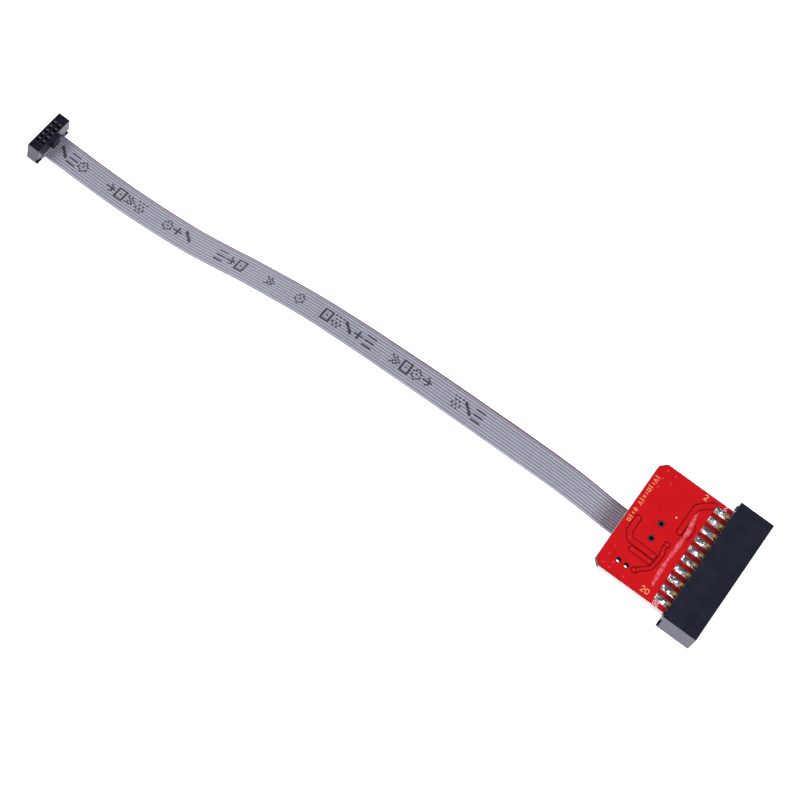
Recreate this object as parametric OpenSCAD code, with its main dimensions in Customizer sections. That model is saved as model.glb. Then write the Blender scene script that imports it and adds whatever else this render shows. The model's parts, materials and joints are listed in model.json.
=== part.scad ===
// Ribbon-cable adapter: a 20-way 2.54 mm socket on a small circuit board, wired through a 10-way
// 1.27 mm plug-in header and a flat ribbon cable to a 10-way 1.27 mm plug at the far end.
// Origin: on the table, middle of the lower front edge of the socket's key rib. +X leaves the socket's
// mating face (nearly level), +Y runs along the socket towards its first contact, +Z is up.

/* [Circuit board] */
// length from the socket edge to the free edge
board_l = 17.55; // [16:0.05:20]
// width along the socket
board_w = 26.67; // [25:0.01:28]
// thickness of the laminate
board_t = 1.6; // [1.2:0.1:2]
// cut taken off each free corner
board_chamfer = 1.4; // [0.5:0.1:3]
// diameter of the two plated wire holes
wire_hole_d = 1.05; // [0.7:0.05:1.3]
// diameter of a drilled via
via_d = 0.6; // [0.4:0.05:0.8]
// copper and plating thickness, drawn a little heavy
copper_t = 0.05; // [0.035:0.005:0.1]

/* [20-way socket] */
// contacts in each of the two rows
socket_ways = 10; // [2:1:20]
// contact pitch, along and across
socket_pitch = 2.54; // [2:0.01:2.54]
// housing depth from mating face to back
socket_d = 8.05; // [7:0.05:9]
// housing length
socket_l = 30.1; // [28:0.05:33]
// housing height
socket_h = 6.1; // [5:0.1:7]
// key rib width
socket_key_w = 4; // [3:0.1:5]
// key rib height below the housing
socket_key_h = 1.1; // [0.8:0.05:1.5]
// length of a pad on the board edge
edge_pad_l = 3.45; // [3:0.05:4]
// width of a pad on the board edge
edge_pad_w = 1.55; // [1.2:0.05:1.8]

/* [10-way header under the board] */
// contacts in each row of the small header and both plugs
small_ways = 5; // [2:1:10]
// contact pitch of the small header and both plugs
small_pitch = 1.27; // [1:0.01:1.27]
// distance of the header's centre behind the mating face
header_x = 18.7; // [17:0.1:20]
// shroud width across the rows
shroud_w = 5.08; // [4.8:0.02:5.6]
// shroud length along the rows
shroud_l = 12.8; // [12:0.1:14]
// height of the shroud rim below the board
shroud_h = 4.7; // [4:0.1:5.5]
// side of a square header pin
small_pin = 0.4; // [0.38:0.01:0.45]

/* [10-way ribbon plugs] */
// plug length along the rows
plug_l = 10.16; // [9.8:0.02:11]
// plug width across the rows
plug_w = 2.8; // [2.6:0.05:3.4]
// plug height, cover included
plug_h = 4.95; // [4.5:0.05:6]
// depth of the ribbon's middle below the mating face
plug_ribbon_z = 3.72; // [3.4:0.01:4.2]
// key width on the plug's side
plug_key_w = 1.9; // [1.6:0.05:2.2]
// key height off the plug's side
plug_key_d = 0.9; // [0.6:0.05:1.1]
// length of the key from the mating face
plug_key_l = 2.9; // [2:0.1:3.2]

/* [Ribbon cable] */
// conductors
ribbon_ways = 10; // [4:1:20]
// conductor pitch
ribbon_pitch = 0.635; // [0.6:0.005:1.27]
// diameter of one insulated conductor
ribbon_t = 0.66; // [0.64:0.01:0.9]
// diameter of a stranded core
core_d = 0.3; // [0.25:0.01:0.4]
// distance that a section stops short of its pivot
pivot_gap = 0.25; // [0.2:0.01:0.4]

/* [How it lies on the table] */
// far plug, middle of its mating face, back from the origin
far_x = 168.45; // [120:0.05:250]
// far plug, sideways from the origin
far_y = 6.39; // [0:0.01:20]
// far plug, turn about the vertical
far_yaw = -4.9; // [-20:0.1:20]
// far plug, lean about its long way
far_roll = -5; // [-10:0.5:10]
// height of the ribbon's arch
arch_z = 11.05; // [6:0.05:20]

/* [Hidden] */
$fn = 48;

over = 0.02;              // how far a cutter runs past the face it opens
slip = 0.01;              // running gap round a pin, a peg or a core
root = 0.1;               // how far a feature reaches into the solid it grows from

// heights in the board's own frame: 0 is the middle of the laminate
top_z = board_t / 2;
key_z = socket_h / 2 + socket_key_h;
stand_off = 0.3;          // of the header's moulding from the board
base_z = -top_z - stand_off;
floor_z = -2.5;           // floor of the shroud
rim_z = -top_z - shroud_h;
plug_z = floor_z - 0.1;   // mating face of the near plug, pushed home
back_x = -socket_d;
edge_x = back_x - 0.05;
row_z = socket_pitch / 2;

// the board leans so that the key rib and the near plug's edge both touch the table
plug_drop = -plug_z + plug_h - key_z;
tilt = atan(plug_drop / (header_x - plug_w / 2));

// far plug: its lowest edge is on the table
far_z = plug_h * cos(far_roll) + plug_l / 2 * abs(sin(far_roll));
far_up = [-sin(far_yaw) * -sin(far_roll), cos(far_yaw) * -sin(far_roll), cos(far_roll)];
far_core = [-far_x, far_y, far_z] - plug_ribbon_z * far_up;

// near plug: the middle of the ribbon inside it
near_drop = key_z + plug_z - plug_ribbon_z;
near_core = [-header_x * cos(tilt) + near_drop * sin(tilt), 0,
             header_x * sin(tilt) + near_drop * cos(tilt)];

// distances back from the origin at which the ribbon can bend or twist
stations = [27, 38, 52, 61, 70, 86, 94, 102, 116, 124, 132, 148];
first_s = stations[0];
last_s = stations[len(stations) - 1];
first_z = near_core.z + (first_s + near_core.x) * tan(tilt);
last_run = (-last_s - far_core.x) / cos(far_yaw);
last_y = far_core.y + last_run * sin(far_yaw);

// the ribbon's line: [distance back, value, slope]
rise = [[first_s, first_z, 0.3], [38, 6.5, 0.22], [60, 9.5, 0.11], [87, arch_z, 0],
        [106, 9.9, -0.14], [125, 5.2, -0.27], [last_s, far_core.z, -0.02]];
drift = [[first_s, 0, 0], [91, 1.25, 0.04], [last_s, last_y, -tan(far_yaw)]];
lean = [[first_s, 0, 0], [50, 12, 0], [82, 0, -0.42], [116, -9, 0], [last_s, far_roll, 0]];

function ease(t, a, da, b, db, h) =
    (2 * t * t * t - 3 * t * t + 1) * a + (t * t * t - 2 * t * t + t) * h * da
    + (3 * t * t - 2 * t * t * t) * b + (t * t * t - t * t) * h * db;
function follow(k, s, i = 0) =
    s <= k[i + 1][0] || i == len(k) - 2
    ? let (h = k[i + 1][0] - k[i][0])
      ease((s - k[i][0]) / h, k[i][1], k[i][2], k[i + 1][1], k[i + 1][2], h)
    : follow(k, s, i + 1);
function station(i) =
    let (s = stations[i]) [-s, follow(drift, s), follow(rise, s)];

// ---------------------------------------------------------------- frames

module on_board() {
    rotate([0, tilt, 0]) translate([0, 0, key_z]) children();
}

module at_near_plug() {
    on_board() translate([-header_x, 0, plug_z]) children();
}

module at_far_plug() {
    translate([-far_x, far_y, far_z]) rotate([far_roll, 0, far_yaw]) children();
}

// frame of the free section between two stations: its far end at 0, its run along +X
module at_section(i) {
    a = station(i);
    b = station(i + 1);
    d = a - b;
    lean_here = (follow(lean, stations[i]) + follow(lean, stations[i + 1])) / 2;
    translate(b) rotate([lean_here, -asin(d.z / norm(d)), atan2(d.y, d.x)]) children();
}

function section_l(i) = norm(station(i) - station(i + 1));

// ---------------------------------------------------------------- circuit board

// [back from the mating face, across]
wire_holes = [[21.6, -9.8], [19.7, -9.8]];
vias = [[23.6, 12.1], [21.6, 12.1], [21.6, 10.2], [23.6, 10.1], [23.5, 8.1], [23.8, -7.8],
        [23.8, -9.8], [23.9, -12.1], [22.2, -10.9], [22.3, -12.2], [19.0, -12.2], [16.9, 4.9]];
peg_y = 1.5 * small_pitch;
peg_hole_d = 0.95;
peg_d = 0.8;

module drill(x, y, d) {
    translate([-x, y, -top_z - over]) cylinder(d = d, h = board_t + 2 * over);
}

module circuit_board() {
    w = board_w / 2;
    x0 = edge_x - board_l;
    color("firebrick") on_board() difference() {
        translate([0, 0, -top_z]) linear_extrude(board_t)
            polygon([[edge_x, -w], [edge_x, w], [x0 + board_chamfer, w], [x0, w - board_chamfer],
                     [x0, -w + board_chamfer], [x0 + board_chamfer, -w]]);
        for (h = wire_holes) drill(h[0], h[1], wire_hole_d);
        for (v = vias) drill(v[0], v[1], via_d);
        for (side = [-1, 1]) drill(header_x, side * peg_y, peg_hole_d);
    }
}

module plated_vias() {
    color("goldenrod") on_board() for (v = vias) difference() {
        translate([-v[0], v[1], -top_z]) cylinder(d = via_d - slip, h = board_t);
        drill(v[0], v[1], via_d - 4 * copper_t);
    }
}

module edge_pads() {
    for (i = [0 : socket_ways - 1])
        translate([edge_x - edge_pad_l, contact_y(i) - edge_pad_w / 2, top_z])
            cube([edge_pad_l, edge_pad_w, copper_t]);
}

module upper_edge_pads() {
    color("gold") on_board() edge_pads();
}

module lower_edge_pads() {
    color("gold") on_board() mirror([0, 0, 1]) edge_pads();
}

// ---------------------------------------------------------------- 20-way socket

function contact_y(i) = (i - (socket_ways - 1) / 2) * socket_pitch;

cavity_w = 0.9;           // along the rows
cavity_h = 1.44;          // across the rows
lead_in = 0.35;           // chamfer round each cavity's mouth
notch_d = 0.45;           // slot in each end wall, at the back
notch_w = 0.9;
notch_z = -2.3;           // lower end of the slot, and its height
notch_h = 3.4;
lug_x = 0.3;              // small lug on the back, near each end
lug_y = 0.8;
lug_z = 1.2;
lug_at_y = 13.9;          // middle of a lug, and its underside
lug_at_z = 1;

// square funnel that opens towards +X, mouth at 0
module funnel() {
    intersection() {
        translate([0, 0, -cavity_h]) linear_extrude(2 * cavity_h)
            polygon([[-lead_in, -cavity_w / 2], [over, -cavity_w / 2 - lead_in],
                     [over, cavity_w / 2 + lead_in], [-lead_in, cavity_w / 2]]);
        rotate([90, 0, 0]) translate([0, 0, -cavity_w]) linear_extrude(2 * cavity_w)
            polygon([[-lead_in, -cavity_h / 2], [over, -cavity_h / 2 - lead_in / 2],
                     [over, cavity_h / 2 + lead_in / 2], [-lead_in, cavity_h / 2]]);
    }
}

module socket_housing() {
    color("#1c1d22") on_board() difference() {
        union() {
            translate([back_x, -socket_l / 2, -socket_h / 2]) cube([socket_d, socket_l, socket_h]);
            translate([back_x, -socket_key_w / 2, -key_z])
                cube([socket_d, socket_key_w, socket_key_h + root]);
            for (side = [-1, 1])
                translate([back_x - lug_x, side * lug_at_y - lug_y / 2, lug_at_z])
                    cube([lug_x + root, lug_y, lug_z]);
        }
        for (i = [0 : socket_ways - 1]) for (side = [-1, 1])
            translate([0, contact_y(i), side * row_z]) {
                funnel();
                translate([back_x - over, -cavity_w / 2, -cavity_h / 2])
                    cube([socket_d - lead_in + 2 * over, cavity_w, cavity_h]);
            }
        for (side = [-1, 1])
            translate([back_x - over, side * (socket_l - notch_w + over) / 2 - notch_w / 2, notch_z])
                cube([notch_d + over, notch_w, notch_h]);
    }
}

leaf_t = 0.25;            // spring leaf of a socket contact
leaf_w = 0.7;
leaf_l = 5;
leaf_end = 0.8;           // from the mating face to a leaf's tip
tail_w = 0.64;
foot_x = 2.6;             // reach of the soldered foot behind the housing
foot_t = 0.25;
bend_x = [0.3, 1];        // the tail drops to the pad between these distances
bend_t = 0.05;            // keeps the sloping part as thick as the rest

module socket_contacts() {
    root_l = 0.7;
    jaw = 0.5;            // gap between the leaves
    root_x = -leaf_end - leaf_l;
    tail_x = root_x - root_l + root;
    foot_z = top_z + copper_t;
    for (i = [0 : socket_ways - 1]) translate([0, contact_y(i), 0]) {
        for (side = [-1, 1])
            translate([root_x, -leaf_w / 2, row_z + side * (jaw + leaf_t) / 2 - leaf_t / 2])
                cube([leaf_l, leaf_w, leaf_t]);
        translate([root_x - root_l, -leaf_w / 2, row_z - jaw / 2 - leaf_t])
            cube([root_l, leaf_w, jaw + 2 * leaf_t]);
        translate([0, tail_w / 2, 0]) rotate([90, 0, 0]) linear_extrude(tail_w)
            polygon([[tail_x, row_z - foot_t / 2], [back_x - bend_x[0], row_z - foot_t / 2],
                     [back_x - bend_x[1], foot_z], [back_x - foot_x, foot_z],
                     [back_x - foot_x, foot_z + foot_t],
                     [back_x - bend_x[1] - bend_t, foot_z + foot_t],
                     [back_x - bend_x[0] - bend_t, row_z + foot_t / 2],
                     [tail_x, row_z + foot_t / 2]]);
    }
}

module socket_contacts_upper() {
    color("#d8b25a") on_board() socket_contacts();
}

module socket_contacts_lower() {
    color("#d8b25a") on_board() mirror([0, 0, 1]) socket_contacts();
}

// a solder wedge over each foot, hollowed where the foot lies in it
module edge_solder() {
    solder_w = 1.3;
    toe = [0.35, 0.3];    // where the slope from the pad's end eases, and its height there
    heel = [0.5, 0.5];    // the same at the housing's end
    x0 = edge_x - edge_pad_l + 0.1;
    x1 = back_x - 1.2;
    z0 = top_z + copper_t;
    for (i = [0 : socket_ways - 1]) translate([0, contact_y(i), 0]) difference() {
        translate([0, solder_w / 2, 0]) rotate([90, 0, 0]) linear_extrude(solder_w)
            polygon([[x0, z0], [x0 + toe[0], z0 + toe[1]], [x1 - heel[0], z0 + heel[1]], [x1, z0]]);
        translate([back_x - foot_x, -tail_w / 2, z0 - over])
            cube([foot_x, tail_w, foot_t + over]);
    }
}

module solder_joints_upper() {
    color("silver") on_board() edge_solder();
}

module solder_joints_lower() {
    color("silver") on_board() mirror([0, 0, 1]) edge_solder();
}

// ---------------------------------------------------------------- 10-way header

function small_y(i) = (i - (small_ways - 1) / 2) * small_pitch;

pin_sink = 0.3;           // pin tips, inside the shroud's rim
lead_t = 0.2;             // thickness of a gull-wing lead
lead_x = 3.75;            // reach of a lead from the header's middle
cage_w = 3.1;             // inside of the shroud
cage_l = 10.3;

module header_shroud() {
    slot_w = plug_key_w + 0.2;
    peg_l = 1.2;
    color("#1c1d22") on_board() translate([-header_x, 0, 0]) {
        difference() {
            translate([-shroud_w / 2, -shroud_l / 2, rim_z])
                cube([shroud_w, shroud_l, base_z - rim_z]);
            translate([-cage_w / 2, -cage_l / 2, rim_z - over])
                cube([cage_w, cage_l, floor_z - rim_z + over]);
            translate([0, -slot_w / 2, rim_z - over])
                cube([shroud_w, slot_w, floor_z - rim_z + over]);
            for (i = [0 : small_ways - 1]) for (side = [-1, 1])
                translate([side * small_pitch / 2 - small_pin / 2 - slip,
                           small_y(i) - small_pin / 2 - slip, floor_z - over])
                    cube([small_pin + 2 * slip, small_pin + 2 * slip, base_z - floor_z + 2 * over]);
        }
        for (side = [-1, 1])
            translate([0, side * peg_y, base_z - root]) cylinder(d = peg_d, h = peg_l);
    }
}

// bent pins of the row on the +X side
module header_pins() {
    x0 = small_pitch / 2 - small_pin / 2;
    x1 = x0 + small_pin;
    pad_z = -top_z - copper_t;
    for (i = [0 : small_ways - 1]) translate([0, small_y(i) + small_pin / 2, 0])
        rotate([90, 0, 0]) linear_extrude(small_pin)
            polygon([[x0, rim_z + pin_sink], [x1, rim_z + pin_sink], [x1, pad_z - lead_t],
                     [lead_x, pad_z - lead_t], [lead_x, pad_z], [x0, pad_z]]);
}

module header_pins_front_row() {
    color("#d8b25a") on_board() translate([-header_x, 0, 0]) header_pins();
}

module header_pins_back_row() {
    color("#d8b25a") on_board() translate([-header_x, 0, 0]) mirror([1, 0, 0]) header_pins();
}

pad_x0 = 2.7;             // header pads, from and to
pad_x1 = 4.3;
pad_w = 0.76;

module header_pads() {
    color("gold") on_board() translate([-header_x, 0, -top_z - copper_t])
        for (i = [0 : small_ways - 1]) for (side = [0, 1]) mirror([side, 0, 0])
            translate([pad_x0, small_y(i) - pad_w / 2, 0]) cube([pad_x1 - pad_x0, pad_w, copper_t]);
}

module header_solder_joints() {
    heel = 0.35;
    z0 = -top_z - copper_t;
    color("silver") on_board() translate([-header_x, 0, 0])
        for (i = [0 : small_ways - 1]) for (side = [0, 1]) mirror([side, 0, 0])
            translate([0, small_y(i) + pad_w / 2, 0]) rotate([90, 0, 0]) linear_extrude(pad_w)
                polygon([[lead_x, z0], [lead_x + heel, z0], [lead_x, z0 - lead_t]]);
}

// ---------------------------------------------------------------- ribbon plugs
// plug frame: origin in the middle of the mating face, +Z out of it, +X towards the key

pinch = 0.04;             // gap between the ribbon and the halves that hold it
body_h = plug_ribbon_z - ribbon_t / 2 - pinch;
cover_z = plug_ribbon_z + ribbon_t / 2 + pinch;
hole_x = 0.84;            // a contact cavity, across and along the rows
hole_y = 0.84;
hole_d = 2.8;
trough_x = 0.3;           // slot that takes a row of forks
trough_y = 6.6;
cover_trough = 0.35;      // depth of the same slot in the cover
recess_x = 1.9;           // shallow recess at each end of the mating face
recess_y = [3.5, 4.6];
recess_d = 0.25;
end_y = 3.45;             // the cover's end blocks close the gap beside the ribbon from here
corner_x = 0.4;           // notch at each end of the cover's key side
corner_y = 3.9;
corner_z = 4.55;
latch_y = 4.45;           // middle of a cover latch
latch_w = 0.6;
latch_x = 1.2;
latch_top = 2.2;

module plug_body() {
    clear = 0.1;
    color("#17181c") difference() {
        union() {
            translate([-plug_w / 2, -plug_l / 2, -body_h]) cube([plug_w, plug_l, body_h]);
            translate([0, -plug_key_w / 2, -plug_key_l])
                cube([plug_w / 2 + plug_key_d, plug_key_w, plug_key_l]);
        }
        for (i = [0 : small_ways - 1]) for (side = [-1, 1])
            translate([side * small_pitch / 2 - hole_x / 2, small_y(i) - hole_y / 2, -hole_d])
                cube([hole_x, hole_y, hole_d + over]);
        for (side = [-1, 1]) {
            translate([side * small_pitch / 2 - trough_x / 2, -trough_y / 2, -body_h - over])
                cube([trough_x, trough_y, body_h - hole_d + 2 * over]);
            translate([-latch_x / 2 - clear / 2, side * latch_y - latch_w / 2 - clear / 2,
                       -body_h - over])
                cube([latch_x + clear, latch_w + clear, body_h - latch_top + clear + over]);
        }
        for (turn = [0, 180]) rotate([0, 0, turn]) translate([-recess_x / 2, recess_y[0], -recess_d])
            cube([recess_x, recess_y[1] - recess_y[0], recess_d + over]);
    }
}

module plug_cover() {
    color("#17181c") difference() {
        union() {
            translate([-plug_w / 2, -plug_l / 2, -plug_h]) cube([plug_w, plug_l, plug_h - cover_z]);
            for (turn = [0, 180]) rotate([0, 0, turn])
                translate([-plug_w / 2, end_y, -cover_z - root])
                    cube([plug_w, plug_l / 2 - end_y, cover_z - body_h + root - 2 * slip]);
            for (side = [-1, 1])
                translate([-latch_x / 2, side * latch_y - latch_w / 2, -cover_z - root])
                    cube([latch_x, latch_w, cover_z - latch_top + root]);
        }
        for (side = [-1, 1])
            translate([side * small_pitch / 2 - trough_x / 2, -trough_y / 2, -cover_z - cover_trough])
                cube([trough_x, trough_y, cover_trough + over]);
        for (side = [0, 1]) mirror([0, side, 0])
            translate([plug_w / 2 - corner_x, corner_y, -corner_z])
                cube([corner_x + over, plug_l / 2 - corner_y + over, corner_z - body_h + over]);
    }
}

fork_t = 0.2;             // plate thickness of a fork
fork_w = 0.56;            // width over both tines
tine_gap = core_d + 2 * slip;
blade_x = 0.72;           // blade beside the mating pin: width, thickness, offset, free end
blade_t = 0.15;
blade_y = 0.225;
blade_end = 0.05;

// blade beside the mating pin, shoulder, and the fork that straddles its conductor
module plug_contacts() {
    fork_end = cover_z + 0.3;
    color("#c9c9cf") for (i = [0 : small_ways - 1]) for (side = [-1, 1]) {
        wire = side * ribbon_pitch / 2;
        low = min(wire - fork_w / 2, blade_y);
        high = max(wire + fork_w / 2, blade_y + blade_t);
        translate([side * small_pitch / 2, small_y(i), 0]) {
            translate([-blade_x / 2, blade_y, -hole_d + over / 2])
                cube([blade_x, blade_t, hole_d - blade_end]);
            translate([-fork_t / 2, low, -body_h]) cube([fork_t, high - low, body_h - hole_d + root]);
            translate([-fork_t / 2, wire - fork_w / 2, -fork_end])
                difference() {
                    cube([fork_t, fork_w, fork_end - body_h + root]);
                    translate([-over, (fork_w - tine_gap) / 2, -over])
                        cube([fork_t + 2 * over, tine_gap, fork_end - body_h + over]);
                }
        }
    }
}

module near_plug_body() {
    at_near_plug() plug_body();
}

module near_plug_cover() {
    at_near_plug() plug_cover();
}

module near_plug_contacts() {
    at_near_plug() plug_contacts();
}

module far_plug_body() {
    at_far_plug() plug_body();
}

module far_plug_cover() {
    at_far_plug() plug_cover();
}

module far_plug_contacts() {
    at_far_plug() plug_contacts();
}

// ---------------------------------------------------------------- ribbon

function wire_y(i) = (i - (ribbon_ways - 1) / 2) * ribbon_pitch;

// rods of one diameter on every conductor line, from x0 to x1
module rods(x0, x1, d) {
    for (i = [0 : ribbon_ways - 1])
        translate([x0, wire_y(i), 0]) rotate([0, 90, 0]) cylinder(d = d, h = x1 - x0);
}

module sheath(x0, x1) {
    color("#9c9cb2") difference() {
        rods(x0, x1, ribbon_t);
        rods(x0 - over, x1 + over, core_d + 2 * slip);
    }
}

module cores(x0, x1) {
    color("#b87333") rods(x0, x1, core_d);
}

// slits that the forks have cut in the ribbon inside a plug
module fork_slits() {
    for (i = [0 : small_ways - 1]) for (side = [-1, 1])
        translate([side * small_pitch / 2 - fork_t / 2 - slip,
                   small_y(i) + side * ribbon_pitch / 2 - fork_w / 2 - slip, -ribbon_t])
            cube([fork_t + 2 * slip, fork_w + 2 * slip, 2 * ribbon_t]);
}

cut_end = 1.5;            // where the ribbon is cut off, past the middle of a plug
near_run = (first_s + near_core.x) / cos(tilt);

module at_near_ribbon() {
    at_near_plug() translate([0, 0, -plug_ribbon_z]) children();
}

module at_far_ribbon() {
    at_far_plug() translate([0, 0, -plug_ribbon_z]) children();
}

module ribbon_insulation_01() {
    at_near_ribbon() difference() {
        sheath(-near_run + pivot_gap, cut_end);
        fork_slits();
    }
}

module ribbon_insulation_13() {
    at_far_ribbon() difference() {
        sheath(-cut_end, last_run - pivot_gap);
        fork_slits();
    }
}

module ribbon_wires_01() {
    at_near_ribbon() cores(-near_run + pivot_gap, cut_end);
}

module ribbon_wires_13() {
    at_far_ribbon() cores(-cut_end, last_run - pivot_gap);
}

module free_sheath(i) {
    at_section(i) sheath(pivot_gap, section_l(i) - pivot_gap);
}

module free_cores(i) {
    at_section(i) cores(pivot_gap, section_l(i) - pivot_gap);
}

module ribbon_insulation_02() { free_sheath(0); }
module ribbon_insulation_03() { free_sheath(1); }
module ribbon_insulation_04() { free_sheath(2); }
module ribbon_insulation_05() { free_sheath(3); }
module ribbon_insulation_06() { free_sheath(4); }
module ribbon_insulation_07() { free_sheath(5); }
module ribbon_insulation_08() { free_sheath(6); }
module ribbon_insulation_09() { free_sheath(7); }
module ribbon_insulation_10() { free_sheath(8); }
module ribbon_insulation_11() { free_sheath(9); }
module ribbon_insulation_12() { free_sheath(10); }

module ribbon_wires_02() { free_cores(0); }
module ribbon_wires_03() { free_cores(1); }
module ribbon_wires_04() { free_cores(2); }
module ribbon_wires_05() { free_cores(3); }
module ribbon_wires_06() { free_cores(4); }
module ribbon_wires_07() { free_cores(5); }
module ribbon_wires_08() { free_cores(6); }
module ribbon_wires_09() { free_cores(7); }
module ribbon_wires_10() { free_cores(8); }
module ribbon_wires_11() { free_cores(9); }
module ribbon_wires_12() { free_cores(10); }

// ---------------------------------------------------------------- what is drawn

circuit_board();
plated_vias();
upper_edge_pads();
lower_edge_pads();
socket_housing();
socket_contacts_upper();
socket_contacts_lower();
solder_joints_upper();
solder_joints_lower();
header_shroud();
header_pins_front_row();
header_pins_back_row();
header_pads();
header_solder_joints();
near_plug_body();
near_plug_cover();
near_plug_contacts();
far_plug_body();
far_plug_cover();
far_plug_contacts();
ribbon_insulation_01();
ribbon_insulation_02();
ribbon_insulation_03();
ribbon_insulation_04();
ribbon_insulation_05();
ribbon_insulation_06();
ribbon_insulation_07();
ribbon_insulation_08();
ribbon_insulation_09();
ribbon_insulation_10();
ribbon_insulation_11();
ribbon_insulation_12();
ribbon_insulation_13();
ribbon_wires_01();
ribbon_wires_02();
ribbon_wires_03();
ribbon_wires_04();
ribbon_wires_05();
ribbon_wires_06();
ribbon_wires_07();
ribbon_wires_08();
ribbon_wires_09();
ribbon_wires_10();
ribbon_wires_11();
ribbon_wires_12();
ribbon_wires_13();
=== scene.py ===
import json
import math

import bmesh
import bpy
import numpy as np
from mathutils import Matrix, Vector


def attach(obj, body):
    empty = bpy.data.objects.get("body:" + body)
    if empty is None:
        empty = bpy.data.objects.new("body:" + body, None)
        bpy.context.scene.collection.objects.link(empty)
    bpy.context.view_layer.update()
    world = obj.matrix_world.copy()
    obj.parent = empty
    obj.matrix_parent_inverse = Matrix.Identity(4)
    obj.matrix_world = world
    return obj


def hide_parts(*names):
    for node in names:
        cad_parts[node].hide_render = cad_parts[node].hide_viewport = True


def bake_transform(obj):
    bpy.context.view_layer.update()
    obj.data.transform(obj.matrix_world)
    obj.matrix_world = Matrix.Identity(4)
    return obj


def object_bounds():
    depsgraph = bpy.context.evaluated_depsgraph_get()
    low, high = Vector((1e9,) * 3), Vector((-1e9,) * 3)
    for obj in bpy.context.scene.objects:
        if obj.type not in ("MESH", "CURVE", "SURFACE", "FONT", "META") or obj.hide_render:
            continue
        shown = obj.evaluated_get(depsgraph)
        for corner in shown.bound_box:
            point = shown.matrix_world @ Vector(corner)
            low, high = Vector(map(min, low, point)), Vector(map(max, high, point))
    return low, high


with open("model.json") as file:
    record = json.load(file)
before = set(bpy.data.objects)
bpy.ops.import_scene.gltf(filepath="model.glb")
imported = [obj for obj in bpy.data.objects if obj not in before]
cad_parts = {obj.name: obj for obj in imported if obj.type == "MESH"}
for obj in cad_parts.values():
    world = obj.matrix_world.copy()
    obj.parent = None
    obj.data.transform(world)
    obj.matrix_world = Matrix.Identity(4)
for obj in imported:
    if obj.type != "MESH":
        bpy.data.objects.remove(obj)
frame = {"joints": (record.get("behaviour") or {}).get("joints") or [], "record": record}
cad_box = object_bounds()

MM = 0.001
MOUNTS = {m["name"]: m for m in frame["record"]["mounts"]}
PULL, *HINGES = frame["joints"]


# ---------------- frames

def local_frame(origin, x_axis, z_axis):
    """Takes millimetres in a part's own frame to metres in the row frame."""
    z = Vector(z_axis).normalized()
    y = z.cross(Vector(x_axis)).normalized()
    m = Matrix((y.cross(z), y, z)).transposed().to_4x4()
    m.translation = Vector(origin)
    return m @ Matrix.Scale(MM, 4)


HEADER_X = 18.7        # header and near plug, back from the socket's mating face
HEADER_PAD_X = 3.5     # middle of a header pad, from the header's middle
NEAR_Z = -2.6          # mating face of the near plug, under the board's middle
RIBBON_Z = 3.72        # ribbon's middle, under a plug's mating face
PLUG_W, PLUG_L, PLUG_H = 2.8, 10.16, 4.95
WIRE_R, WIRE_PITCH, WIRES = 0.33, 0.635, 10

_face = MOUNTS["socket_mating_face"]
BOARD = local_frame(_face["pos_m"], _face["axis"], -Vector(PULL["axis"]))
NEAR = BOARD @ Matrix.Translation((-HEADER_X, 0, NEAR_Z))
_face = MOUNTS["far_plug_mating_face"]
_core = Vector(_face["pos_m"]) - Vector(_face["axis"]) * RIBBON_Z * MM
FAR = local_frame(_face["pos_m"], Vector(HINGES[-1]["pos_m"]) - _core, _face["axis"])


# ---------------- materials

def new_material(name):
    mat = bpy.data.materials.new(name)
    mat.use_nodes = True
    tree = mat.node_tree
    return mat, tree, tree.nodes["Principled BSDF"]


def feed(tree, target, inputs):
    """Sets a node's inputs: a socket is linked, and a plain value is stored."""
    for k, v in inputs.items():
        if isinstance(v, bpy.types.NodeSocket):
            tree.links.new(v, target.inputs[k])
        else:
            target.inputs[k].default_value = v


def node(tree, kind, inputs=None, **props):
    n = tree.nodes.new("ShaderNode" + kind)
    for k, v in props.items():
        setattr(n, k, v)
    feed(tree, n, inputs or {})
    return n


def rgb(c):
    """A colour with its alpha; a socket stays as it is."""
    return c if isinstance(c, bpy.types.NodeSocket) else (c[0], c[1], c[2], 1.0)


def mix(tree, fac, a, b):
    return node(tree, "Mix", {0: fac, 6: rgb(a), 7: rgb(b)}, data_type="RGBA").outputs[2]


def maths(tree, op, *args):
    return node(tree, "Math", dict(enumerate(args)), operation=op).outputs[0]


def span(tree, value, low, high, out_low=0.0, out_high=1.0):
    return node(tree, "MapRange", {"Value": value, "From Min": low, "From Max": high,
                                   "To Min": out_low, "To Max": out_high}).outputs[0]


def stretch(tree, at, scale):
    return node(tree, "Mapping", {"Vector": at, "Scale": scale}).outputs[0]


def millimetres(tree):
    return stretch(tree, node(tree, "TexCoord").outputs["Object"], [1 / MM] * 3)


def noise(tree, at, scale, detail=2.0, rough=0.5):
    return node(tree, "TexNoise", {"Vector": at, "Scale": scale, "Detail": detail,
                                   "Roughness": rough}).outputs["Fac"]


def bump(tree, bsdf, height, strength, distance):
    n = node(tree, "Bump", {"Height": height, "Strength": strength, "Distance": distance * MM})
    feed(tree, bsdf, {"Normal": n.outputs[0]})


NOISE_LOW, NOISE_HIGH = 0.3, 0.7     # a noise is stretched from this range to 0..1


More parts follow.
